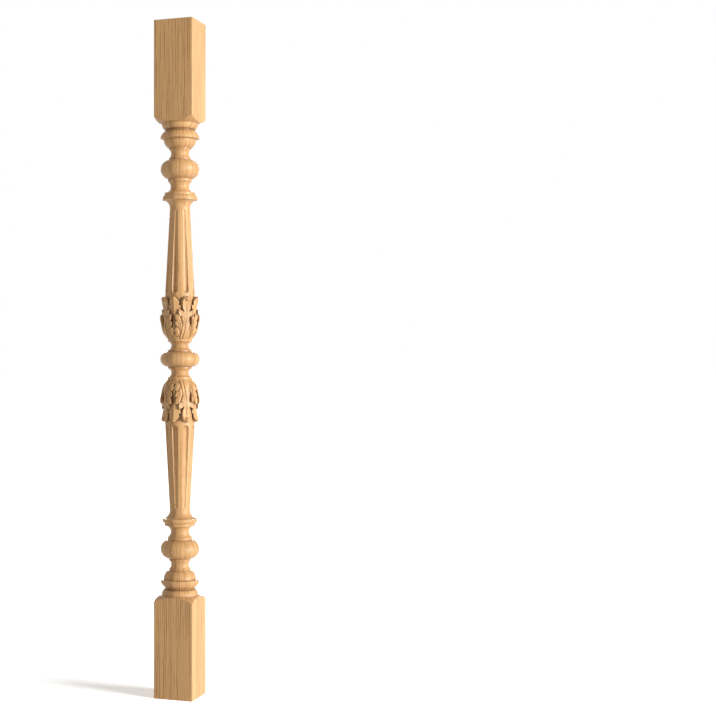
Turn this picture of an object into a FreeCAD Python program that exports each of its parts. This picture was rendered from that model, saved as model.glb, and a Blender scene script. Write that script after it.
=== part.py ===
import FreeCAD, Part
import os
from math import asin, cos, radians, sin, sqrt

V = FreeCAD.Vector
MIDDLE = V(0, 0, 0)
UP = V(0, 0, 1)

# Square stock: the blocks keep its faces, the rest is turned down from it
overall_height = 1000.0
block_width = 60.0
arris_radius = 0.8

# Middle torus and the waist on each side of it
torus_radius = 29.1
torus_height = 21.8
waist_radius = 17.85
waist_fillet_height = 2.8
waist_cove_radius = 12.7
waist_cove_height = 12.7
cup_fillet_height = 3.6

# Leaf cup and the fluted shaft above it
leaf_height = 62.4
ground_curve_height = 18.0
shaft_collar = 1.0
shaft_wide_radius = 22.1
shaft_narrow_radius = 14.9
shaft_length = 130.1
flute_count = 8
flute_start_gap = 4.0
flute_end_gap = 2.0
flute_gouge_radius = 5.0
flute_wide_depth = 3.3
flute_narrow_depth = 0.85

# Neck, disc and scotia
neck_height = 12.5
disc_radius = 25.9
disc_rim_height = 2.4
disc_height = 7.0
step_radius = 22.8
step_height = 3.6
scotia_mouth_radius = 21.0
scotia_radius = 13.7
scotia_height = 17.4

# Bulb between its two fillets, and the cove above it
bulb_fillet_radius = 17.85
bulb_fillet_height = 3.6
bulb_radius = 28.7
bulb_height = 28.0
upper_fillet_radius = 16.1
upper_fillet_height = 2.7
upper_cove_radius = 13.0
upper_cove_height = 12.9
bowl_fillet_height = 2.0

# Bowl, flange, bead and the turned shoulder of the block
bowl_foot_radius = 17.4
bowl_mouth_radius = 24.0
bowl_height = 12.4
flange_radius = 28.8
flange_flare_height = 1.3
flange_rim_height = 3.0
flange_roll_height = 8.9
flange_roll_radius = 26.3
quirk_radius = 21.6
quirk_height = 0.8
bead_radius = 27.0
bead_height = 9.6
shoulder_height = 8.6
shoulder_hollow = 0.9

# Carving: depth of each layer from the axis
leaf_count = 4
foot_radius = 18.2
lobe_belly_radius = 27.3
lobe_lip_radius = 29.6
lobe_top_radius = 28.6
plate_belly_radius = 24.2
plate_waist_radius = 25.0
tip_face_radius = 26.1
tip_rim_radius = 28.2
tip_top_radius = 26.0
stem_height = 0.8
vein_width = 1.1
vein_depth = 1.2
small_lobe_height = 1.7
curl_radius = 3.5
curl_sink = 1.0
ridge_radius = 25.4
ridge_tip_radius = 29.1
roof_drop = 3.7
roof_half_width = 10.5

# Carving: heights as shares of the leaf height
lobe_lip_share = 0.5
lobe_roll_share = 0.555
lobe_top_share = 0.6
plate_waist_share = 0.64
tip_face_share = 0.8
tip_rim_share = 0.93
tip_roll_share = 0.985
tip_top_share = 1.02
vein_low_share = 0.55
vein_high_share = 0.83
curl_middle_share = 0.937
ridge_low_share = 0.2
ridge_bend_share = 0.69
ridge_high_share = 1.01

# Leaf outlines: degrees from the leaf's midline, and shares of the leaf height
stem_side = [[(0, 0.577), (2.7, 0.4), (5.6, 0.264)], [(5.6, 0.264), (9.0, 0.14), (12.2, 0.008)]]
tip_side = [[(0, 1.0), (13.5, 0.962), (18.4, 0.833)], [(18.4, 0.833), (17.6, 0.74), (14.0, 0.652)]]
small_lobe = [[(14.0, 0.652), (19.0, 0.667), (25.0, 0.702)], [(25.0, 0.702), (28.9, 0.64), (26.0, 0.545)]]
plate_hidden = [[(26.0, 0.545), (18.0, 0.42)], [(18.0, 0.42), (14.5, 0.02)]]
small_lobe_hidden = [[(26.0, 0.545), (16.0, 0.52)], [(16.0, 0.52), (14.0, 0.652)]]

# Pointed leaf outline, from the midline of a block's face
point_side = [[(0, 1.0), (7.4, 0.961), (13.6, 0.918)], [(13.6, 0.918), (17.4, 0.862), (15.6, 0.8)],
              [(15.6, 0.8), (20.6, 0.8), (22.2, 0.765)], [(22.2, 0.765), (16.0, 0.56)],
              [(16.0, 0.56), (9.0, 0.23)]]

# Raised lobes on one side of a block face's midline, from the eye round to the stem and the foot
lobe_heading = 20.0
lobe_outline = [
    [(0, 0.096), (3.4, 0.14), (0.5, 0.19)],
    [(0.5, 0.19), (5.4, 0.258), (10.6, 0.28)],
    [(10.6, 0.28), (6.9, 0.33), (5.0, 0.403)],
    [(5.0, 0.403), (11.2, 0.412)],
    [(11.2, 0.412), (7.6, 0.48), (5.0, 0.556)],
    [(5.0, 0.556), (13.5, 0.568), (22.2, 0.498)],
    [(22.2, 0.498), (27.2, 0.53), (31.4, 0.512)],
    [(31.4, 0.512), (31.6, 0.41), (36.8, 0.27)],
    [(36.8, 0.27), (36.8, 0.16), (32.1, 0.003)],
    [(32.1, 0.003), (-3.0, 0.003)],
    [(-3.0, 0.003), (0, 0.096)],
]

# Heights of the members from the middle of the baluster
torus_edge = torus_height / 2
waist_edge = torus_edge + waist_fillet_height
cove_edge = waist_edge + waist_cove_height
leaf_foot = cove_edge + cup_fillet_height
shaft_start = leaf_foot + leaf_height + shaft_collar
neck_start = shaft_start + shaft_length
disc_start = neck_start + neck_height
step_start = disc_start + disc_height
scotia_start = step_start + step_height
bulb_fillet_start = scotia_start + scotia_height
bulb_start = bulb_fillet_start + bulb_fillet_height
upper_fillet_start = bulb_start + bulb_height
upper_cove_start = upper_fillet_start + upper_fillet_height
bowl_fillet_start = upper_cove_start + upper_cove_height
bowl_start = bowl_fillet_start + bowl_fillet_height
flange_start = bowl_start + bowl_height
flange_rim_start = flange_start + flange_flare_height
flange_roll_start = flange_rim_start + flange_rim_height
quirk_start = flange_roll_start + flange_roll_height
bead_start = quirk_start + quirk_height
shoulder_start = bead_start + bead_height
block_start = shoulder_start + shoulder_height
half_height = overall_height / 2
corner_radius = block_width / sqrt(2)


def at(radius, z):
    return V(radius, 0, z)


def bow(start, through, end):
    return Part.Arc(at(*start), at(*through), at(*end)).toShape()


def straight(*corners):
    return [Part.makeLine(at(*a), at(*b)) for a, b in zip(corners, corners[1:])]


def tangent_bow(start, heading, end):
    """Arc from start, setting out along heading, to end."""
    a, b, way = at(*start), at(*end), at(*heading)
    chord = b - a
    side = chord - way * (chord.dot(way) / way.dot(way))
    centre = a + side * (chord.dot(chord) / (2 * side.dot(chord)))
    outward = (a - centre) + (b - centre)
    outward.normalize()
    return Part.Arc(a, centre + outward * (a - centre).Length, b).toShape()


def turned(edges):
    """Solid of revolution about the baluster's axis from a closed outline."""
    return Part.Face(Part.Wire(Part.sortEdges(edges)[0])).revolve(MIDDLE, UP, 360)


def turned_copy(shape, angle):
    copy = shape.copy()
    copy.rotate(MIDDLE, UP, angle)
    return copy


def leaf_z(share):
    return leaf_foot + share * leaf_height


def waist():
    """Half of the middle torus, then a cove between two fillets."""
    edges = straight((0, 0), (torus_radius, 0))
    edges.append(tangent_bow((torus_radius, 0), (0, 1), (waist_radius, torus_edge)))
    edges += straight((waist_radius, torus_edge), (waist_radius, waist_edge))
    edges.append(bow((waist_radius, waist_edge), (waist_cove_radius, (waist_edge + cove_edge) / 2),
                     (waist_radius, cove_edge)))
    return edges + straight((waist_radius, cove_edge), (waist_radius, leaf_foot))


def shaft():
    """Ground of the leaf cup, and the shaft that narrows to its neck and flares out to the disc."""
    ground_top = leaf_foot + ground_curve_height
    shaft_way = (shaft_narrow_radius - shaft_wide_radius, shaft_length)
    edges = [tangent_bow((shaft_wide_radius, ground_top), (0, -1), (waist_radius, leaf_foot))]
    edges += straight((shaft_wide_radius, ground_top), (shaft_wide_radius, shaft_start),
                      (shaft_narrow_radius, neck_start))
    edges.append(tangent_bow((shaft_narrow_radius, neck_start), shaft_way, (disc_radius, disc_start)))
    return edges


def disc_and_scotia():
    rim_top = disc_start + disc_rim_height
    edges = straight((disc_radius, disc_start), (disc_radius, rim_top))
    edges.append(tangent_bow((disc_radius, rim_top), (0, 1), (step_radius, step_start)))
    edges += straight((step_radius, step_start), (step_radius, scotia_start),
                      (scotia_mouth_radius, scotia_start))
    edges.append(bow((scotia_mouth_radius, scotia_start),
                     (scotia_radius, (scotia_start + bulb_fillet_start) / 2),
                     (bulb_fillet_radius, bulb_fillet_start)))
    return edges + straight((bulb_fillet_radius, bulb_fillet_start), (bulb_fillet_radius, bulb_start))


def bulb_and_cove():
    edges = [bow((bulb_fillet_radius, bulb_start), (bulb_radius, (bulb_start + upper_fillet_start) / 2),
                 (upper_fillet_radius, upper_fillet_start))]
    edges += straight((upper_fillet_radius, upper_fillet_start), (upper_fillet_radius, upper_cove_start))
    edges.append(bow((upper_fillet_radius, upper_cove_start),
                     (upper_cove_radius, (upper_cove_start + bowl_fillet_start) / 2),
                     (upper_fillet_radius, bowl_fillet_start)))
    return edges + straight((upper_fillet_radius, bowl_fillet_start), (upper_fillet_radius, bowl_start),
                            (bowl_foot_radius, bowl_start))


def bowl_to_block():
    """Bowl with its sharp flange, the bead above it, and the block's chamfered shoulder and end."""
    edges = [tangent_bow((bowl_mouth_radius, flange_start), (0, -1), (bowl_foot_radius, bowl_start))]
    edges += straight((bowl_mouth_radius, flange_start), (flange_radius, flange_rim_start),
                      (flange_radius, flange_roll_start))
    edges.append(bow((flange_radius, flange_roll_start),
                     (flange_roll_radius, (flange_roll_start + quirk_start) / 2), (quirk_radius, quirk_start)))
    edges += straight((quirk_radius, quirk_start), (quirk_radius, bead_start))
    edges.append(tangent_bow((bead_radius, shoulder_start), (0, -1), (quirk_radius, bead_start)))
    shoulder_middle = ((bead_radius + corner_radius) / 2, (shoulder_start + block_start) / 2 - shoulder_hollow)
    edges.append(bow((bead_radius, shoulder_start), shoulder_middle, (corner_radius, block_start)))
    return edges + straight((corner_radius, block_start), (corner_radius, half_height), (0, half_height), (0, 0))


def stock():
    """Square bar with eased arrises, over the upper half."""
    bar = Part.makeBox(block_width, block_width, half_height, V(-block_width / 2, -block_width / 2, 0))
    arrises = [e for e in bar.Edges if abs(e.tangentAt(e.FirstParameter).dot(UP)) > 0.5]
    return bar.makeFillet(arris_radius, arrises)


def flutes():
    """Round-bottomed flutes, each cut with one gouge and shallower where the shaft narrows."""
    taper = (shaft_wide_radius - shaft_narrow_radius) / shaft_length

    def ball_centre(end_z, way, depth):
        z = end_z + way * sqrt(2 * flute_gouge_radius * depth - depth ** 2)
        return at(shaft_wide_radius - (z - shaft_start) * taper - depth + flute_gouge_radius, z)

    low = ball_centre(shaft_start + flute_start_gap, 1, flute_wide_depth)
    high = ball_centre(neck_start - flute_end_gap, -1, flute_narrow_depth)
    bar = Part.makeCylinder(flute_gouge_radius, (high - low).Length, low, high - low)
    balls = [Part.makeSphere(flute_gouge_radius, centre) for centre in (low, high)]
    flute = bar.fuse(balls)
    return [turned_copy(flute, 360 / flute_count * i) for i in range(flute_count)]


def mirrored(runs):
    """The same outline on the other side of the midline, run backwards."""
    return [[(-a, share) for a, share in reversed(run)] for run in reversed(runs)]


def closed_on_midline(side):
    """Whole outline from the runs on one side: a straight foot joins the two sides."""
    angle, share = side[-1][-1]
    return side + [[(angle, share), (-angle, share)]] + mirrored(side)


def outline_prism(runs, radius, heading=0.0):
    """Outline drawn on a cylinder and cut straight in along its heading; three points make an arc."""
    edges = []
    for run in runs:
        points = [V(0, radius * sin(radians(a - heading)), leaf_z(share)) for a, share in run]
        edges.append(Part.makeLine(*points) if len(points) == 2 else Part.Arc(*points).toShape())
    prism = Part.Face(Part.Wire(edges)).extrude(V(corner_radius, 0, 0))
    return turned_copy(prism, heading)


def layer(belly_radius, profile, rise=0.0):
    """Turned layer of the carving: a round belly up from the foot, then lines and arcs above it."""
    belly = belly_radius + rise
    ring = leaf_foot + sqrt(belly ** 2 - foot_radius ** 2)
    tilt = asin((leaf_foot - ring) / belly) / 2
    start = (belly, ring)
    edges = straight((0, leaf_foot), (foot_radius, leaf_foot))
    edges.append(bow((foot_radius, leaf_foot), (belly * cos(tilt), ring + belly * sin(tilt)), start))
    for run in profile:
        points = [start] + [(radius + rise, leaf_z(share)) for radius, share in run]
        edges += straight(*points) if len(points) == 2 else [bow(*points)]
        start = points[-1]
    return turned(edges + straight(start, (0, start[1]), (0, leaf_foot)))


def lobe_layer():
    return layer(lobe_belly_radius, [[(lobe_lip_radius, lobe_lip_share)],
                                     [(lobe_lip_radius, lobe_roll_share), (lobe_top_radius, lobe_top_share)]])


def plate_layer(rise=0.0):
    return layer(plate_belly_radius, [[(plate_waist_radius, plate_waist_share)],
                                      [(tip_face_radius, tip_face_share), (tip_rim_radius, tip_rim_share)],
                                      [(tip_rim_radius, tip_roll_share), (tip_top_radius, tip_top_share)]], rise)


def vein():
    """V-cut down the leaf's midline, from the hollow of its tip to the stem."""
    def section(radius, share):
        corners = [(radius - vein_depth, 0), (radius + vein_depth, vein_width), (radius + vein_depth, -vein_width)]
        return Part.makePolygon([V(x, y, leaf_z(share)) for x, y in corners + corners[:1]])

    low = section(plate_waist_radius, vein_low_share)
    high = section(tip_face_radius, vein_high_share)
    return Part.makeLoft([low, high], True, True)


def acanthus_leaf():
    """One leaf on the +X midline: plate with its vein and tip, small lobes, stem and curl."""
    plate = outline_prism(closed_on_midline(tip_side + small_lobe + plate_hidden), tip_face_radius)
    lobe = outline_prism(small_lobe + small_lobe_hidden, tip_face_radius).common(plate_layer(small_lobe_height))
    other_lobe = lobe.mirror(MIDDLE, V(0, 1, 0))
    stem = outline_prism(closed_on_midline(stem_side), plate_waist_radius).common(plate_layer(stem_height))
    curl = Part.makeSphere(curl_radius, at(tip_rim_radius - curl_sink, leaf_z(curl_middle_share)))
    return plate.common(plate_layer()).cut(vein()).fuse([lobe, other_lobe, stem, curl])


def face_lobes():
    """Raised lobes of two neighbouring leaves, joined at the foot round the eye between them."""
    lobes = outline_prism(lobe_outline, lobe_belly_radius, lobe_heading).common(lobe_layer())
    return lobes.fuse(lobes.mirror(MIDDLE, V(0, 1, 0)))


def pointed_leaf():
    """Leaf between two acanthus leaves, with a sharp ridge down the middle like a roof."""
    def section(ridge, share):
        eaves = ridge - roof_drop
        corners = [(ridge, 0), (eaves, roof_half_width), (0, roof_half_width),
                   (0, -roof_half_width), (eaves, -roof_half_width)]
        return Part.makePolygon([V(x, y, leaf_z(share)) for x, y in corners + corners[:1]])

    heights = [(ridge_radius, ridge_low_share), (ridge_radius, ridge_bend_share), (ridge_tip_radius, ridge_high_share)]
    roof = Part.makeLoft([section(radius, share) for radius, share in heights], True, True)
    return outline_prism(closed_on_midline(point_side), ridge_radius).common(roof)


def carving():
    """Leaf cup of one half: leaves on the block's corners, lobes and pointed leaves on its faces."""
    leaf, lobes, point = acanthus_leaf(), face_lobes(), pointed_leaf()
    pieces = []
    for i in range(leaf_count):
        turn = 360 / leaf_count * i
        pieces.append(turned_copy(leaf, turn + 180 / leaf_count))
        pieces.append(turned_copy(lobes, turn))
        pieces.append(turned_copy(point, turn))
    return pieces


blank = turned(waist() + shaft() + disc_and_scotia() + bulb_and_cove() + bowl_to_block())
half = blank.common(stock()).cut(flutes()).fuse(carving())
baluster = half.fuse(half.mirror(MIDDLE, UP)).removeSplitter().Solids[0]
baluster.translate(UP * half_height)

os.makedirs("parts", exist_ok=True)
baluster.exportStep("parts/baluster.step")
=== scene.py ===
import bpy
import numpy as np
from math import atan2, ceil, cos, hypot, pi, radians, sin, tau
from mathutils import Euler, Matrix, Vector
from mathutils.geometry import delaunay_2d_cdt


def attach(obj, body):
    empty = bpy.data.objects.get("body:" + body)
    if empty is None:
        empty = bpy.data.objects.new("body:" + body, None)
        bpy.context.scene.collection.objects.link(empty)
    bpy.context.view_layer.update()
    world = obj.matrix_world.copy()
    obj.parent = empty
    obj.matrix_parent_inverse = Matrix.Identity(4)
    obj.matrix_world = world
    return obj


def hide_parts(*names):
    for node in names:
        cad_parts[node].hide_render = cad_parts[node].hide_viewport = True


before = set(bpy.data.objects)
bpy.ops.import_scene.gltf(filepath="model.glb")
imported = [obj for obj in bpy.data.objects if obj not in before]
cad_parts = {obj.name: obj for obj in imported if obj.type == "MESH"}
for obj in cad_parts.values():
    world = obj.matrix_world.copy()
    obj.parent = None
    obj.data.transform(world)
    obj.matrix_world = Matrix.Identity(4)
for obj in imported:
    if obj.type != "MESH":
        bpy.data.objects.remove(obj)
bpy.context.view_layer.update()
mm = 0.001
scene = bpy.context.scene
print("frame loaded")


# Mesh tools: the baluster is made in mm about its middle, and set to metres at the end
def newObject(name, points, faces):
    mesh = bpy.data.meshes.new(name)
    mesh.from_pydata([tuple(p) for p in points], [], [tuple(f) for f in faces])
    mesh.validate()
    piece = bpy.data.objects.new(name, mesh)
    scene.collection.objects.link(piece)
    return piece


def copyOf(piece):
    twin = piece.copy()
    twin.data = piece.data.copy()
    scene.collection.objects.link(twin)
    return twin


def mirror(piece, signs):
    piece.data.transform(Matrix.Diagonal((*signs, 1)))
    piece.data.flip_normals()


def discard(piece):
    mesh = piece.data
    bpy.data.objects.remove(piece)
    bpy.data.meshes.remove(mesh)


def combine(base, other, how):
    joint = base.modifiers.new("combine", "BOOLEAN")
    joint.operation = how
    joint.object = other
    joint.solver = "MANIFOLD"
    graph = bpy.context.evaluated_depsgraph_get()
    result = bpy.data.meshes.new_from_object(base.evaluated_get(graph))
    base.modifiers.clear()
    old, base.data = base.data, result
    bpy.data.meshes.remove(old)
    discard(other)


def lathe(name, profile, sides):    # the profile starts and ends on the axis
    points = [(0, 0, profile[0][1])]
    faces = []
    inner = profile[1:-1]
    for radius, z in inner:
        points += [(radius * cos(tau * i / sides), radius * sin(tau * i / sides), z) for i in range(sides)]
    points.append((0, 0, profile[-1][1]))
    top = 1 + (len(inner) - 1) * sides
    for i in range(sides):
        j = (i + 1) % sides
        faces.append((0, 1 + j, 1 + i))
        for row in range(len(inner) - 1):
            low, high = 1 + row * sides, 1 + (row + 1) * sides
            faces.append((low + i, low + j, high + j, high + i))
        faces.append((top + i, top + j, len(points) - 1))
    return newObject(name, points, faces)


# Turned blank: half of its profile from the middle ring to the end, as radius and height in mm.
# A bow passes through a point, an ease leaves along a heading, and an into arrives along one
halfHeight = 500.0
blockCorner = 42.43     # just past the corners of the block
waistRadius = 17.85
coveRadius = 16.1
shaftFoot = (22.1, 93.4)
shaftHead = (14.9, 223.5)
shaftSlope = (shaftHead[0] - shaftFoot[0], shaftHead[1] - shaftFoot[1])
alongAxis = (0, 1)
turning = {
    "block": 60.0, "arris": 0.8, "arrisSteps": 6, "sides": 96, "arcStep": 10.0, "sharpAngle": 30.0,
    "start": (29.1, 0),
    "runs": [
        ("ease", alongAxis, (waistRadius, 10.9)),         # half of the middle ring
        ("line", (waistRadius, 13.7)),
        ("bow", (12.7, 20.05), (waistRadius, 26.4)),      # waist cove
        ("line", (waistRadius, 30.0)),
        ("into", alongAxis, (shaftFoot[0], 48.0)),        # ground under the leaves
        ("line", shaftFoot),
        ("line", shaftHead),                              # shaft
        ("ease", shaftSlope, (25.9, 236.0)),              # neck
        ("line", (25.9, 238.4)),
        ("ease", alongAxis, (22.8, 243.0)),               # disc
        ("line", (22.8, 246.6)),
        ("line", (21.0, 246.6)),
        ("bow", (13.7, 255.3), (waistRadius, 264.0)),     # scotia
        ("line", (waistRadius, 267.6)),
        ("bow", (28.7, 281.6), (coveRadius, 295.6)),      # bulb
        ("line", (coveRadius, 298.3)),
        ("bow", (13.0, 304.75), (coveRadius, 311.2)),     # upper cove
        ("line", (coveRadius, 313.2)),
        ("line", (17.4, 313.2)),
        ("into", alongAxis, (24.0, 325.6)),               # bowl
        ("line", (28.8, 326.9)),
        ("line", (28.8, 329.9)),                          # flange
        ("bow", (26.3, 334.35), (21.6, 338.8)),
        ("line", (21.6, 339.6)),
        ("into", alongAxis, (27.0, 349.2)),               # bead
        ("bow", (34.7, 352.6), (blockCorner, 357.8)),     # shoulder of the block
        ("line", (blockCorner, halfHeight)),
        ("line", (0, halfHeight)),
    ],
}


def bowPoints(start, through, end):
    (ax, ay), (bx, by), (cx, cy) = start, through, end
    a2, b2, c2 = ax * ax + ay * ay, bx * bx + by * by, cx * cx + cy * cy
    d = 2 * (ax * (by - cy) + bx * (cy - ay) + cx * (ay - by))
    ox = (a2 * (by - cy) + b2 * (cy - ay) + c2 * (ay - by)) / d     # centre of the circle through all three
    oy = (a2 * (cx - bx) + b2 * (ax - cx) + c2 * (bx - ax)) / d
    radius = hypot(ax - ox, ay - oy)
    first, middle, last = (atan2(y - oy, x - ox) for x, y in (start, through, end))
    span = (last - first) % tau
    if (middle - first) % tau > span:
        span -= tau
    steps = max(3, ceil(abs(span) / radians(turning["arcStep"])))
    angles = [first + span * i / steps for i in range(1, steps + 1)]
    return [(ox + radius * cos(angle), oy + radius * sin(angle)) for angle in angles]


def easePoints(start, heading, end):
    a, b, way = Vector(start), Vector(end), Vector(heading)
    chord = b - a
    side = chord - way * (chord.dot(way) / way.dot(way))
    centre = a + side * (chord.dot(chord) / (2 * side.dot(chord)))
    out = ((a - centre) + (b - centre)).normalized() * (a - centre).length
    return bowPoints(start, tuple(centre + out), end)


def profilePoints():
    points = [turning["start"]]
    for kind, *way, end in turning["runs"]:
        last = points[-1]
        if kind == "line":
            points.append(end)
        elif kind == "bow":
            points += bowPoints(last, way[0], end)
        elif kind == "ease":
            points += easePoints(last, way[0], end)
        else:
            back = easePoints(end, tuple(-c for c in way[0]), last)
            points += reversed([end] + back[:-1])
    return points


def squareStock():
    side, arris = turning["block"] / 2, turning["arris"]
    ring = []
    for corner in range(4):
        middle = Vector((side - arris, side - arris))
        middle.rotate(Matrix.Rotation(corner * pi / 2, 2))
        for i in range(turning["arrisSteps"] + 1):
            angle = corner * pi / 2 + i * pi / 2 / turning["arrisSteps"]
            ring.append((middle.x + arris * cos(angle), middle.y + arris * sin(angle)))
    n = len(ring)
    points = [(x, y, z) for z in (-halfHeight, halfHeight) for x, y in ring]
    faces = [tuple(reversed(range(n))), tuple(range(n, 2 * n))]
    faces += [(i, (i + 1) % n, n + (i + 1) % n, n + i) for i in range(n)]
    return newObject("stock", points, faces)


def turnedBlank():
    half = profilePoints()
    whole = [(radius, -z) for radius, z in reversed(half[1:])] + half
    blank = lathe("baluster_wood", whole, turning["sides"])
    combine(blank, squareStock(), "INTERSECT")
    return blank


# Flutes: ball-ended gouge cuts along the shaft, heights and depths in mm
fluting = {
    "count": 8, "low": 102.1, "high": 218.7, "lowDepth": 3.3, "highDepth": 0.85,
    "gouge": 5.0, "sides": 40, "endSteps": 10,
}


def gougeCut(start, end):
    way = Vector(end) - Vector(start)
    radius, steps = fluting["gouge"], fluting["endSteps"]
    bend = [(radius * cos(pi / 2 * i / steps), radius * sin(pi / 2 * i / steps)) for i in range(steps + 1)]
    profile = [(x, -y) for x, y in reversed(bend)] + [(x, way.length + y) for x, y in bend]
    cut = lathe("gouge", profile, fluting["sides"])
    cut.data.transform(Matrix.Translation(start) @ way.to_track_quat("Z", "Y").to_matrix().to_4x4())
    return cut


def cutFlutes(blank):
    ends = []
    for z, depth in ((fluting["low"], fluting["lowDepth"]), (fluting["high"], fluting["highDepth"])):
        surface = shaftFoot[0] + (z - shaftFoot[1]) * shaftSlope[0] / shaftSlope[1]
        ends.append((surface - depth + fluting["gouge"], 0, z))
    for i in range(fluting["count"]):
        for side in (1, -1):
            cut = gougeCut(*ends)
            cut.data.transform(Matrix.Rotation(tau * i / fluting["count"], 4, "Z"))
            if side < 0:
                mirror(cut, (1, 1, -1))
            combine(blank, cut, "DIFFERENCE")


# Leaf carving: degrees from a midline, heights above the middle and depths in mm.
# A shell is height and radius, a rim is how far from the edge a hollow starts, and a run is how far
# it takes to reach its depth
carving = {
    "leaves": 4, "flatRadius": 26.0, "rootRadius": 11.0,
    "edgeSpacing": 0.7, "edgeStep": 0.3, "edgePower": 1.25, "edgeClear": 0.93,
    "spacing": 1.1, "rowPitch": 0.866, "fillClear": 0.55, "weld": 1e-4,     # mesh points on the surface
    "lobeShell": [(30, 18.3), (33, 20.7), (36, 23.3), (39, 25.0), (42.8, 26.5), (46, 27.2), (49, 27.6),
                  (52, 28.2), (55, 28.8), (58, 29.4), (61, 29.7), (64, 29.5), (67, 28.4)],
    "plateShell": [(30, 18.2), (33, 20.2), (36, 21.9), (40, 23.4), (46, 24.2), (58, 24.4), (70, 25.0),
                   (75, 25.6), (80, 26.5), (85, 27.5), (88, 28.3), (90, 28.3), (92.6, 27.2)],
    "ridgeShell": [(42, 25.4), (60, 25.4), (73, 25.7), (80, 26.8), (88, 28.4), (92.6, 29.1)],
    "ridgeCrease": [(0, 44.3), (0, 68), (0, 92.1)], "roofPitch": 0.36,
    "lobeHollow": {"depth": 0.5, "rim": 1.4, "run": 3.0},
    "smallHollow": {"depth": 0.5, "rim": 0.8, "run": 2.0},
    "smallTilt": {"angle": 13.0, "over": 12.0, "rise": 2.1, "sink": 0.15},
    "fingerRise": {"width": 4.0, "z": 48.0, "run": 5.0, "angle": 12.6, "over": 0.8},
    "tipScoop": {"depth": 1.7, "rim": 2.3, "run": 1.6, "z": 68.0, "over": 8.0},
    "tipRoll": {"height": 1.7, "halfAngle": 7.234, "z": 89.6, "halfHeight": 2.6},
    "stemRise": {"height": 0.8, "z": 54.0, "over": 12.0},
    "stemSlit": {"depth": 0.25, "width": 0.6},
    "eyeDepth": 2.4,
    "curl": {"radius": 26.5, "z": 88.9, "size": (3.5, 3.2, 3.4), "sides": 32, "rows": 16},
}

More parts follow.
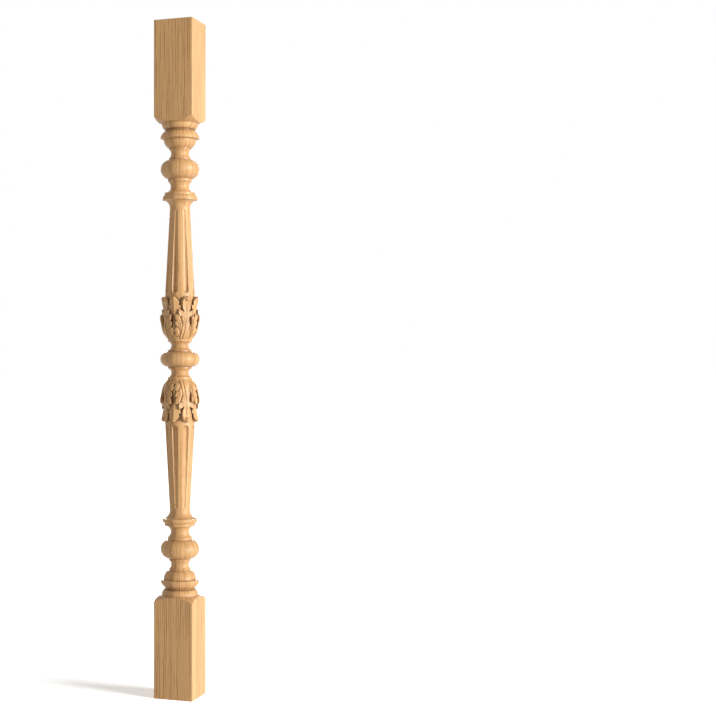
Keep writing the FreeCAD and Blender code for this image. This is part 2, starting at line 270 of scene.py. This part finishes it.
# Each run of an outline or a cut: its points, then how far the surface falls there and over what width
fingerGroove = [(22.8, 61.2), (20.5, 58), (18.7, 54.4), (18.1, 49.8), (18.1, 46.2), (19.2, 43), (21, 39.8),
                (23.7, 36.6), (26.4, 34.4), (29, 31.8), (30.2, 30.2)]
curlGroove = [(34.4, 47.5), (31.3, 46.6), (28.6, 44.8), (26.5, 42.5), (25.5, 40.3), (25.6, 38), (27.1, 36),
              (30.4, 34.6), (35.3, 33.7), (40.7, 33.2), (45.6, 33)]
fingerCut = ([(33.5, 55.2), (31, 53), (28.8, 49.8), (27.6, 47.4)], 0.4, 2.0)
veinCut = ([(0, 82), (0, 76), (0, 70), (0, 63.6)], 1.1, 0.45)
outlines = {
    "plate": [
        ([(0, 92.5), (4.8, 92.5), (10.2, 91.8), (14.7, 90.2), (17.8, 88), (19.6, 85.7), (20.2, 81.4),
          (19.6, 77), (17.6, 73), (14.6, 70.6)], 2.8, 2.6),
        ([(14.6, 70.6), (17, 66), (17, 52), (15, 40), (13, 30.3)], 0, 1),
    ],
    "stem": [
        ([(0, 66), (0.7, 63), (1.6, 59), (2.7, 55), (4, 51), (5.6, 46.5), (7.6, 42), (9.4, 38), (11, 34),
          (12.2, 30.3)], 0.3, 0.7),
    ],
    "point": [
        ([(0, 92.5), (3.6, 91.3), (7.2, 89.9), (10.5, 88.6), (13.2, 87.4), (15.6, 86.2), (16.9, 84.9),
          (17.3, 83.5), (17, 82), (16.2, 80.6), (15.2, 79.9)], 0.3, 0.6),
        ([(15.2, 79.9), (20.4, 80), (22.1, 79.8), (22.4, 78.6), (22.1, 76.4), (21.3, 75)], 0.3, 0.6),
        ([(21.3, 75), (19, 70), (15, 62), (9, 50), (7, 44)], 0, 1),
    ],
    "smallLobe": [
        ([(13.6, 70.7), (17.4, 71.4), (21, 72.3), (25, 73.8)], 0.3, 0.7),
        ([(25, 73.8), (27.1, 72.7), (28.6, 70.9), (29, 68.9), (28.6, 67), (27.7, 65.9), (25.5, 62.5)],
         0.6, 1.1),
        ([(25.5, 62.5), (20, 59), (14, 57), (11, 60), (11, 66), (13.6, 70.7)], 0, 1),
    ],
    "finger": [
        ([(22.8, 61.2), (20.6, 62.6), (18, 63.1), (16, 63), (14.4, 62.4)], 0.5, 1.0),
        ([(14.4, 62.4), (13.7, 60.5), (13.5, 57.5), (13.8, 55), (14.4, 52.5), (14.9, 50.5), (15.1, 49),
          (14.7, 47.8), (13.9, 47.3), (13.2, 47.8), (12.9, 49), (12.8, 50.5), (12.5, 52.3)], 0.3, 0.6),
        ([(12.5, 52.3), (11.4, 51.2), (9.8, 49.6), (8.4, 48), (7.9, 46.2), (8.5, 44), (10, 40.5),
          (11.8, 37), (13.6, 33.5), (14.8, 30.2)], 0, 1),
        ([(14.8, 30.2), (30.2, 30.2)], 0, 1),
        (fingerGroove[::-1], 1.7, 2.0),
    ],
    "largeLobe": [
        ([(22.8, 61.2), (23.7, 61.9), (25.5, 63.6), (29, 65.5), (33.1, 66.3), (37.1, 65.9), (39.8, 64.6)],
         0.5, 1.0),
        ([(39.8, 64.6), (38.7, 62.1), (37.8, 59.4), (36.2, 57.3), (33.8, 55.7)], 0.5, 1.0),
        ([(33.8, 55.7), (36.5, 55.6), (40, 55.1)], 0.5, 1.0),
        ([(40, 55.1), (39.4, 52.5), (38, 50), (35.8, 48.2), (34.4, 47.5)], 0.5, 1.0),
        (curlGroove, 1.5, 1.8),
        ([(45.6, 33), (45.6, 30.2)], 0, 1),
        ([(45.6, 30.2), (30.2, 30.2)], 0, 1),
        (fingerGroove[::-1], 1.7, 2.0),
    ],
    "curlLobe": [
        ([(34.4, 47.5), (37.1, 46.9), (40.7, 45.7), (43.4, 44.1), (45, 42)], 1.1, 2.2),
        ([(45, 42), (44.6, 41.2)], 0.5, 0.6),
        ([(44.6, 41.2), (43.2, 40.6), (41.8, 39.3), (41.4, 38.2), (41.9, 37), (43.3, 36.3), (45.6, 36)],
         1.0, 1.6),
        ([(45.6, 36), (45.6, 33)], 0, 1),
        (curlGroove[::-1], 1.5, 2.6),
    ],
    "eye": [
        ([(45.6, 41.6), (43, 41.4), (40.6, 39.6), (40.2, 37.6), (42, 35.4), (45.6, 35)], 0, 1),
        ([(45.6, 35), (45.6, 41.6)], 0, 1),
    ],
}


def smoothCurve(table, at):
    xs, ys = np.array(table, dtype=float).T
    slopes = np.gradient(ys, xs)
    i = np.clip(np.searchsorted(xs, at) - 1, 0, len(xs) - 2)
    h = xs[i + 1] - xs[i]
    t = np.clip((at - xs[i]) / h, 0, 1)
    return ((1 + 2 * t) * (1 - t) ** 2 * ys[i] + t * (1 - t) ** 2 * h * slopes[i]
            + t * t * (3 - 2 * t) * ys[i + 1] + t * t * (t - 1) * h * slopes[i + 1])


def smoothStep(value):
    t = np.clip(value, 0, 1)
    return t * t * (3 - 2 * t)


def flat(points):    # degrees rolled out to mm
    return np.array(points, dtype=float) * (radians(1) * carving["flatRadius"], 1)


def smoothRun(points):
    ends = [2 * points[0] - points[1], *points, 2 * points[-1] - points[-2]]
    line = [points[0]]
    for a, b, c, d in zip(ends, ends[1:], ends[2:], ends[3:]):
        n = max(1, ceil(np.linalg.norm(c - b) / carving["edgeSpacing"]))
        for i in range(1, n + 1):
            t = i / n
            line.append(0.5 * (2 * b + (c - a) * t + (2 * a - 5 * b + 4 * c - d) * t * t
                               + (3 * b - a - 3 * c + d) * t ** 3))
    return np.array(line)


def reach(points, line):    # distance of each point from a line
    a, b = line[:-1], line[1:]
    ab = b - a
    t = np.clip(((points[:, None] - a) * ab).sum(2) / (ab * ab).sum(1), 0, 1)
    return np.linalg.norm(points[:, None] - (a + t[..., None] * ab), axis=2).min(1)


def inside(points, loop):
    x, y = points.T
    hit = np.zeros(len(points), bool)
    for (ax, ay), (bx, by) in zip(loop, np.roll(loop, -1, 0)):
        if ay != by:
            hit ^= ((ay > y) != (by > y)) & (x < (bx - ax) * (y - ay) / (by - ay) + ax)
    return hit


def otherSide(points):
    return [(-angle, z) for angle, z in points]


def wholeOutline(runs):
    foot = runs[-1][0][-1]
    other = [(otherSide(points)[::-1], fall, width) for points, fall, width in reversed(runs)]
    return runs + [([foot, (-foot[0], foot[1])], 0, 1)] + other


def offsetChains(line, depths, loop, closed):
    along = np.gradient(line, axis=0)
    normal = np.stack([along[:, 1], -along[:, 0]], 1) / np.linalg.norm(along, axis=1)[:, None]
    chains = []
    for depth in depths:
        for sign in (1, -1):
            ring = line + normal * depth * sign
            keep = inside(ring, loop)
            keep[keep] = reach(ring[keep], closed) > depth * carving["edgeClear"]
            for run in np.split(np.arange(len(ring)), np.flatnonzero(np.diff(keep)) + 1):
                if keep[run[0]]:
                    chains.append(ring[run])
    return chains


def detailChains(edges, grooves, loop, closed):
    chains = []
    for line, fall, width in edges:
        if fall:
            depths = sorted({min(carving["edgeStep"], width / 2), width / 2, width})
            chains += offsetChains(line, depths, loop, closed)
    for line, fall, width in grooves:
        chains += [line[1:-1]] + offsetChains(line, (width / 2, width), loop, closed)
    return chains


def fillPoints(loop, taken):
    s = carving["spacing"]
    low, high = loop.min(0), loop.max(0)
    rows = np.arange(low[1], high[1], s * carving["rowPitch"])
    columns = np.arange(low[0], high[0], s)
    grid = np.array([(x + (k % 2) * s / 2, z) for k, z in enumerate(rows) for x in columns])
    grid = grid[inside(grid, loop)]
    return grid[np.linalg.norm(grid[:, None] - taken, axis=2).min(1) > s * carving["fillClear"]]


def triangulated(loop, chains):
    taken = np.vstack([loop, *chains])
    points = np.vstack([taken, fillPoints(loop, taken)])
    rim = list(range(len(loop)))
    links, start = [], len(loop)
    for chain in chains:
        links += [(start + i, start + i + 1) for i in range(len(chain) - 1)]
        start += len(chain)
    made = delaunay_2d_cdt([Vector(p) for p in points], links, [rim], 1, carving["weld"])
    corners, faces = made[0], made[2]
    return np.array([tuple(c) for c in corners]), faces


def slopeDown(spots, line, fall, width):
    return fall * np.clip(1 - reach(spots, line) / width, 0, 1) ** carving["edgePower"]


def rootedSolid(name, angle, z, radius, faces):    # from the carved surface down to inside the blank
    turn, root, count = np.radians(angle), carving["rootRadius"], len(angle)
    outer = np.stack([radius * np.cos(turn), radius * np.sin(turn), z], 1)
    inner = np.stack([root * np.cos(turn), root * np.sin(turn), z], 1)
    sides = {(a, b) for face in faces for a, b in zip(face, face[1:] + face[:1])}
    walls = [(b, a, a + count, b + count) for a, b in sides if (b, a) not in sides]
    roots = [tuple(i + count for i in reversed(face)) for face in faces]
    return newObject(name, np.vstack([outer, inner]), [tuple(face) for face in faces] + roots + walls)


def carvedPiece(name, runs, surface, cuts=(), crease=()):
    edges = [(smoothRun(flat(points)), fall, width) for points, fall, width in runs]
    grooves = [(smoothRun(flat(points)), fall, width) for points, fall, width in cuts]
    loop = np.concatenate([line[:-1] for line, fall, width in edges])
    closed = np.vstack([loop, loop[:1]])
    chains = detailChains(edges, grooves, loop, closed)
    if crease:
        chains.append(smoothRun(flat(crease)))
    spots, faces = triangulated(loop, chains)
    fall = np.zeros(len(spots))
    for edge in edges:
        fall = np.maximum(fall, slopeDown(spots, *edge))
    for groove in grooves:
        fall = fall + slopeDown(spots, *groove)
    angle, z = spots[:, 0] / (radians(1) * carving["flatRadius"]), spots[:, 1]
    return rootedSolid(name, angle, z, surface(angle, z, reach(spots, closed)) - fall, faces)


# Carved surfaces: radius from degrees, height and the distance to the nearest edge
def hollow(edge, shape):
    return shape["depth"] * smoothStep((edge - shape["rim"]) / shape["run"])


def plainLobe(angle, z, edge):
    return smoothCurve(carving["lobeShell"], z)


def lobeSurface(angle, z, edge):
    return plainLobe(angle, z, edge) - hollow(edge, carving["lobeHollow"])


def eyeSurface(angle, z, edge):
    return plainLobe(angle, z, edge) - carving["eyeDepth"]


def fingerSurface(angle, z, edge):
    rise = carving["fingerRise"]
    baseAngle, baseZ = np.array(outlines["finger"][2][0][::-1]).T
    clear = (angle - np.interp(z, baseZ, baseAngle)) * radians(carving["flatRadius"])
    above = smoothStep((z - rise["z"]) / rise["run"]) * smoothStep((angle - rise["angle"]) / rise["over"])
    share = np.maximum(smoothStep(clear / rise["width"]), above)
    plate = smoothCurve(carving["plateShell"], z)
    return plate + (plainLobe(angle, z, edge) - plate) * share


def plateSurface(angle, z, edge):
    scoop, roll = carving["tipScoop"], carving["tipRoll"]
    hollowed = scoop["depth"] * (1 - np.exp(-np.maximum(edge - scoop["rim"], 0) / scoop["run"]))
    hollowed = hollowed * smoothStep((z - scoop["z"]) / scoop["over"])
    bulge = np.exp(-(angle / roll["halfAngle"]) ** 2 - ((z - roll["z"]) / roll["halfHeight"]) ** 2)
    return smoothCurve(carving["plateShell"], z) - hollowed + roll["height"] * bulge


def stemSurface(angle, z, edge):
    rise = carving["stemRise"]
    fade = 1 - smoothStep((z - rise["z"]) / rise["over"])
    return smoothCurve(carving["plateShell"], z) + rise["height"] * fade


def smallSurface(angle, z, edge):
    tilt = carving["smallTilt"]
    lifted = (angle - tilt["angle"]) / tilt["over"] * tilt["rise"] - tilt["sink"]
    return smoothCurve(carving["plateShell"], z) + lifted - hollow(edge, carving["smallHollow"])


def roofSurface(angle, z, edge):
    turn = np.radians(np.abs(angle))
    return smoothCurve(carving["ridgeShell"], z) / (np.cos(turn) + carving["roofPitch"] * np.sin(turn))


def curlBall():
    curl = carving["curl"]
    angles = [pi * i / curl["rows"] for i in range(curl["rows"] + 1)]
    ball = lathe("curl", [(sin(angle), -cos(angle)) for angle in angles], curl["sides"])
    onTip = Matrix.Translation((curl["radius"], 0, curl["z"]))
    ball.data.transform(onTip @ Matrix.Diagonal((*curl["size"], 1)))
    return ball


def leafUnit():
    slit, cut = outlines["stem"][0][0][1:-1], carving["stemSlit"]
    slits = [(points, cut["depth"], cut["width"]) for points in (slit, otherSide(slit))]
    unit = carvedPiece("leaf", wholeOutline(outlines["plate"]), plateSurface, slits + [veinCut])
    parts = [carvedPiece("stem", wholeOutline(outlines["stem"]), stemSurface)]
    for name, surface, cuts in (("smallLobe", smallSurface, ()), ("finger", fingerSurface, ()),
                                ("largeLobe", lobeSurface, [fingerCut]), ("curlLobe", plainLobe, ()),
                                ("eye", eyeSurface, ())):
        lobe = carvedPiece(name, outlines[name], surface, cuts)
        twin = copyOf(lobe)
        mirror(twin, (1, -1, 1))
        parts += [lobe, twin]
    point = carvedPiece("point", wholeOutline(outlines["point"]), roofSurface, (), carving["ridgeCrease"])
    point.data.transform(Matrix.Rotation(pi / carving["leaves"], 4, "Z"))
    for part in parts + [point, curlBall()]:
        combine(unit, part, "UNION")
    return unit


def carveLeaves(blank):
    unit = leafUnit()
    for i in range(carving["leaves"]):
        for side in (1, -1):
            leaf = copyOf(unit)
            leaf.data.transform(Matrix.Rotation(tau / carving["leaves"] * (i + 0.5), 4, "Z"))
            if side < 0:
                mirror(leaf, (1, 1, -1))
            combine(blank, leaf, "UNION")
    discard(unit)


baluster = turnedBlank()
cutFlutes(baluster)
print("turned and fluted:", len(baluster.data.polygons), "faces")
carveLeaves(baluster)
print("carved:", sum(len(face.vertices) - 2 for face in baluster.data.polygons), "triangles")
onFloor = Matrix.Translation((0, 0, halfHeight * mm))
baluster.data.transform(onFloor @ Matrix.Diagonal((mm, mm, mm, 1)))
baluster.data.shade_smooth()
baluster.data.set_sharp_from_angle(angle=radians(turning["sharpAngle"]))
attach(baluster, "root")
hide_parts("baluster")


# Shader tools: a node goes into the tree of the sockets that feed it
def isSocket(value):
    return isinstance(value, bpy.types.NodeSocket)


def newNode(kind, *values):
    tree = next(value.id_data for value in values if isSocket(value))
    return tree.nodes.new(kind)


def feed(socket, value):
    if isSocket(value):
        socket.id_data.links.new(value, socket)
    else:
        socket.default_value = value


def calc(operation, *values, clamp=False):
    node = newNode("ShaderNodeMath", *values)
    node.operation = operation
    node.use_clamp = clamp
    for socket, value in zip(node.inputs, values):
        feed(socket, value)
    return node.outputs["Value"]


def vector(operation, *values):
    node = newNode("ShaderNodeVectorMath", *values)
    node.operation = operation
    for socket, value in zip(node.inputs, values):
        feed(socket, value)
    return node.outputs["Vector"]


def ramp(value, limits):
    node = newNode("ShaderNodeMapRange", value)
    node.interpolation_type = "SMOOTHSTEP"
    feed(node.inputs["Value"], value)
    node.inputs["From Min"].default_value = limits[0]
    node.inputs["From Max"].default_value = limits[1]
    return node.outputs["Result"]


def blend(factor, first, second, mode="MIX"):
    node = newNode("ShaderNodeMix", factor, first, second)
    node.data_type = "RGBA"
    node.blend_type = mode
    feed(node.inputs["Factor"], factor)
    for socket, colour in zip(node.inputs[6:8], (first, second)):     # the colour sockets, A and B
        feed(socket, colour if isSocket(colour) else (*colour, 1))
    return node.outputs[2]


# Wood: colours linear, sizes in mm.
# A noise is its fineness across and along the grain, its detail and its roughness
wood = {
    "light": (0.785, 0.459, 0.195), "dark": (0.41, 0.19, 0.06),
    "pore": (0.22, 0.095, 0.03), "poreStrength": 0.4, "poreLimits": (0.61, 0.72),
    # painted shade: a dark brown is mixed into the colour where ambient occlusion finds the wood closed in,
    # as in flutes and carved hollows; these are its colour, strength, limits, reach in mm and samples
    "paintedShade": (0.13, 0.055, 0.018), "paintedShadeStrength": 0.9, "paintedShadeLimits": (0.08, 0.56),
    "paintedShadeReach": 9.0, "paintedShadeSamples": 8,
    "lines": 88.0, "wrap": 24.0, "lineStrength": 1.9,                               # turned parts
    "blockSpacing": 2.8, "blockCalm": 0.6, "blockStrength": 1.9, "blockStart": (349.1, 349.5),
    "lineRise": (0.2, 0.8), "lineEnd": (0.82, 1.0), "sway": 2.4, "ripple": 1.3,     # in line spacings
    "weightLimits": (0.38, 0.68), "weightLeast": 0.2, "weightGain": 0.8,
    "breakLimits": (0.36, 0.66), "breakLeast": 0.35, "breakGain": 0.85,
    "fineShare": 0.55, "longShare": 0.45, "shadeLeast": 0.83, "shadeGain": 0.34, "toneRange": 0.10,
    "roughLeast": 0.44, "roughGain": 0.16, "coat": 0.06, "coatRoughness": 0.25,
    "bump": 0.22, "bumpDepth": 0.2, "fibreRelief": 0.5, "lineRelief": 0.4,
    "noises": {
        "sway": (0.07, 0.009, 2.0, 0.5), "ripple": (0.3, 0.012, 3.0, 0.5),
        "weight": (0.35, 0.006, 2.0, 0.5), "break": (1.9, 0.05, 3.0, 0.6),
        "fineFibre": (3.2, 0.06, 3.0, 0.6), "longFibre": (0.9, 0.015, 2.0, 0.6),
        "pores": (4.2, 0.24, 2.0, 0.55), "tone": (0.05, 0.008, 2.0, 0.5),
    },
}


def noise(name, position):
    across, along, detail, roughness = wood["noises"][name]
    node = newNode("ShaderNodeTexNoise", position)
    feed(node.inputs["Vector"], vector("MULTIPLY", position, (across, across, along)))
    node.inputs["Scale"].default_value = 1.0
    node.inputs["Detail"].default_value = detail
    node.inputs["Roughness"].default_value = roughness
    return node.outputs["Fac"]


def swing(value, amount):    # noise about its middle, either way by the amount
    return calc("MULTIPLY_ADD", value, 2 * amount, -amount)


def yearLines(count, drift, strength):
    season = calc("FRACT", calc("ADD", count, drift))
    kept = calc("SUBTRACT", 1.0, ramp(season, wood["lineEnd"]))
    return calc("MULTIPLY", calc("MULTIPLY", ramp(season, wood["lineRise"]), kept), strength)


def grainLines(place):    # lines run round the turned parts and straight across the blocks
    split = place.id_data.nodes.new("ShaderNodeSeparateXYZ")
    feed(split.inputs["Vector"], place)
    x, y, z = (split.outputs[axis] for axis in "XYZ")
    outward = vector("NORMALIZE", vector("MULTIPLY", place, (1, 1, 0)))
    wrapped = vector("MULTIPLY", outward, (wood["wrap"],) * 3)
    onWork = vector("MULTIPLY_ADD", place, (0, 0, 1), wrapped)
    sway = swing(noise("sway", onWork), wood["sway"])
    drift = calc("ADD", sway, swing(noise("ripple", onWork), wood["ripple"]))
    turnedCount = calc("DIVIDE", calc("ARCTAN2", y, x), tau / wood["lines"])
    blockCount = calc("DIVIDE", calc("ADD", x, y), wood["blockSpacing"])
    turned = yearLines(turnedCount, drift, wood["lineStrength"])
    block = yearLines(blockCount, calc("MULTIPLY", drift, wood["blockCalm"]), wood["blockStrength"])
    fromMiddle = calc("ABSOLUTE", calc("SUBTRACT", z, halfHeight))
    onBlock = ramp(fromMiddle, wood["blockStart"])
    lines = calc("MULTIPLY_ADD", calc("SUBTRACT", block, turned), onBlock, turned)
    weight = ramp(noise("weight", onWork), wood["weightLimits"])
    weight = calc("MULTIPLY_ADD", weight, wood["weightGain"], wood["weightLeast"])
    broken = ramp(noise("break", place), wood["breakLimits"])
    broken = calc("MULTIPLY_ADD", broken, wood["breakGain"], wood["breakLeast"])
    return calc("MULTIPLY", lines, calc("MULTIPLY", weight, broken), clamp=True)


# painted shade: how closed in the surface is, by ambient occlusion within the reach, sets how much it is
# darkened
def paintedShadeMask(tree):
    occlusion = tree.nodes.new("ShaderNodeAmbientOcclusion")
    occlusion.samples = wood["paintedShadeSamples"]
    occlusion.only_local = True
    occlusion.inputs["Distance"].default_value = wood["paintedShadeReach"] * mm
    closed = ramp(calc("SUBTRACT", 1.0, occlusion.outputs["AO"]), wood["paintedShadeLimits"])
    return calc("MULTIPLY", closed, wood["paintedShadeStrength"])


def greyOf(value):
    grey = newNode("ShaderNodeCombineColor", value)
    for channel in ("Red", "Green", "Blue"):
        feed(grey.inputs[channel], value)
    return grey.outputs["Color"]


def woodMaterial():
    material = bpy.data.materials.new("wood")
    material.use_nodes = True
    tree = material.node_tree
    shader = tree.nodes["Principled BSDF"]
    coordinates = tree.nodes.new("ShaderNodeTexCoord")
    place = vector("MULTIPLY", coordinates.outputs["Object"], (1 / mm,) * 3)
    lines = grainLines(place)
    pores = ramp(noise("pores", place), wood["poreLimits"])
    longFibre = calc("MULTIPLY", noise("longFibre", place), wood["longShare"])
    fibre = calc("MULTIPLY_ADD", noise("fineFibre", place), wood["fineShare"], longFibre)
    shade = calc("ADD", swing(noise("tone", place), wood["toneRange"]),
                 calc("MULTIPLY_ADD", fibre, wood["shadeGain"], wood["shadeLeast"]))
    colour = blend(lines, wood["light"], wood["dark"])
    colour = blend(calc("MULTIPLY", pores, wood["poreStrength"]), colour, wood["pore"])
    colour = blend(1.0, colour, greyOf(shade), "MULTIPLY")
    # painted shade in flutes and carved hollows is mixed into the colour last
    feed(shader.inputs["Base Color"], blend(paintedShadeMask(tree), colour, wood["paintedShade"]))
    feed(shader.inputs["Roughness"], calc("MULTIPLY_ADD", fibre, wood["roughGain"], wood["roughLeast"]))
    shader.inputs["Coat Weight"].default_value = wood["coat"]
    shader.inputs["Coat Roughness"].default_value = wood["coatRoughness"]
    sunk = calc("MULTIPLY_ADD", lines, wood["lineRelief"], pores)
    bump = tree.nodes.new("ShaderNodeBump")
    bump.inputs["Strength"].default_value = wood["bump"]
    bump.inputs["Distance"].default_value = wood["bumpDepth"] * mm
    feed(bump.inputs["Height"], calc("SUBTRACT", calc("MULTIPLY", fibre, wood["fibreRelief"]), sunk))
    feed(shader.inputs["Normal"], bump.outputs["Normal"])
    return material


baluster.data.materials.clear()
baluster.data.materials.append(woodMaterial())
print("wood made")


# Camera: degrees round from the front, metres, and a lens in mm
shot = {"azimuth": 20.4, "distance": 2.207, "height": 0.5018, "lens": 74.7, "sensor": 36.0, "shift": 0.2487}


def photoCamera():
    lens = bpy.data.cameras.new("camera")
    lens.lens = shot["lens"]
    lens.sensor_width = shot["sensor"]
    lens.shift_x = shot["shift"]
    camera = bpy.data.objects.new("camera", lens)
    scene.collection.objects.link(camera)
    turn = radians(shot["azimuth"])
    camera.location = (sin(turn) * shot["distance"], -cos(turn) * shot["distance"], shot["height"])
    camera.rotation_euler = Euler((pi / 2, 0, turn))
    return camera


# Studio: suns shine from a direction, and each lights one thing only, so the floor's shadow stays short
studio = {
    "key": {"from": (0.975, -0.17, 0.09), "strength": 3.68, "angle": 13.0},
    "backKey": {"from": (-0.349, 0.937, 0.12), "strength": 2.4, "angle": 13.0},
    "floorKey": {"from": (0.84, -0.12, 0.53), "strength": 4.4, "angle": 26.0},
    "sky": 0.295, "fill": (1, 0.96, 0.89), "white": (1, 1, 1),
    "floorHalf": 40.0, "floorSeen": 0.93, "floorBounce": 0.45, "floorGlow": 0.43, "floorRoughness": 0.9,
}


def seenRays(tree):    # rays that show the background, straight or mirrored
    path = tree.nodes.new("ShaderNodeLightPath")
    mirrored = calc("MAXIMUM", path.outputs["Is Glossy Ray"], path.outputs["Is Transmission Ray"])
    return calc("MAXIMUM", path.outputs["Is Camera Ray"], mirrored)


def whiteWorld():
    world = bpy.data.worlds.new("studio")
    world.use_nodes = True
    background = world.node_tree.nodes["Background"]
    seen = seenRays(world.node_tree)
    feed(background.inputs["Color"], blend(seen, studio["fill"], studio["white"]))
    feed(background.inputs["Strength"], calc("MULTIPLY_ADD", seen, 1 - studio["sky"], studio["sky"]))
    return world


def paleFloor():
    half = studio["floorHalf"]
    corners = [(-half, -half, 0), (half, -half, 0), (half, half, 0), (-half, half, 0)]
    floor = newObject("floor", corners, [(0, 1, 2, 3)])
    material = bpy.data.materials.new("floor")
    material.use_nodes = True
    shader = material.node_tree.nodes["Principled BSDF"]
    seen = seenRays(material.node_tree)
    bounce, shown = (studio["floorBounce"],) * 3, (studio["floorSeen"],) * 3
    feed(shader.inputs["Base Color"], blend(seen, bounce, shown))
    shader.inputs["Emission Color"].default_value = (*studio["white"], 1)
    feed(shader.inputs["Emission Strength"], calc("MULTIPLY", seen, studio["floorGlow"]))
    shader.inputs["Roughness"].default_value = studio["floorRoughness"]
    shader.inputs["Specular IOR Level"].default_value = 0.0
    floor.data.materials.append(material)
    return floor


def softSun(name, lit):
    values = studio[name]
    sun = bpy.data.lights.new(name, "SUN")
    sun.energy = values["strength"]
    sun.angle = radians(values["angle"])
    lamp = bpy.data.objects.new(name, sun)
    scene.collection.objects.link(lamp)
    lamp.rotation_euler = Vector(values["from"]).to_track_quat("Z", "Y").to_euler()
    receivers = bpy.data.collections.new(name + "Lit")
    receivers.objects.link(lit)
    lamp.light_linking.receiver_collection = receivers
    return lamp


scene.view_settings.view_transform = "Standard"
camera = photoCamera()
scene.camera = camera
scene.world = whiteWorld()
floor = paleFloor()
for name, lit in (("key", baluster), ("backKey", baluster), ("floorKey", floor)):
    lamp = softSun(name, lit)
print("staged")
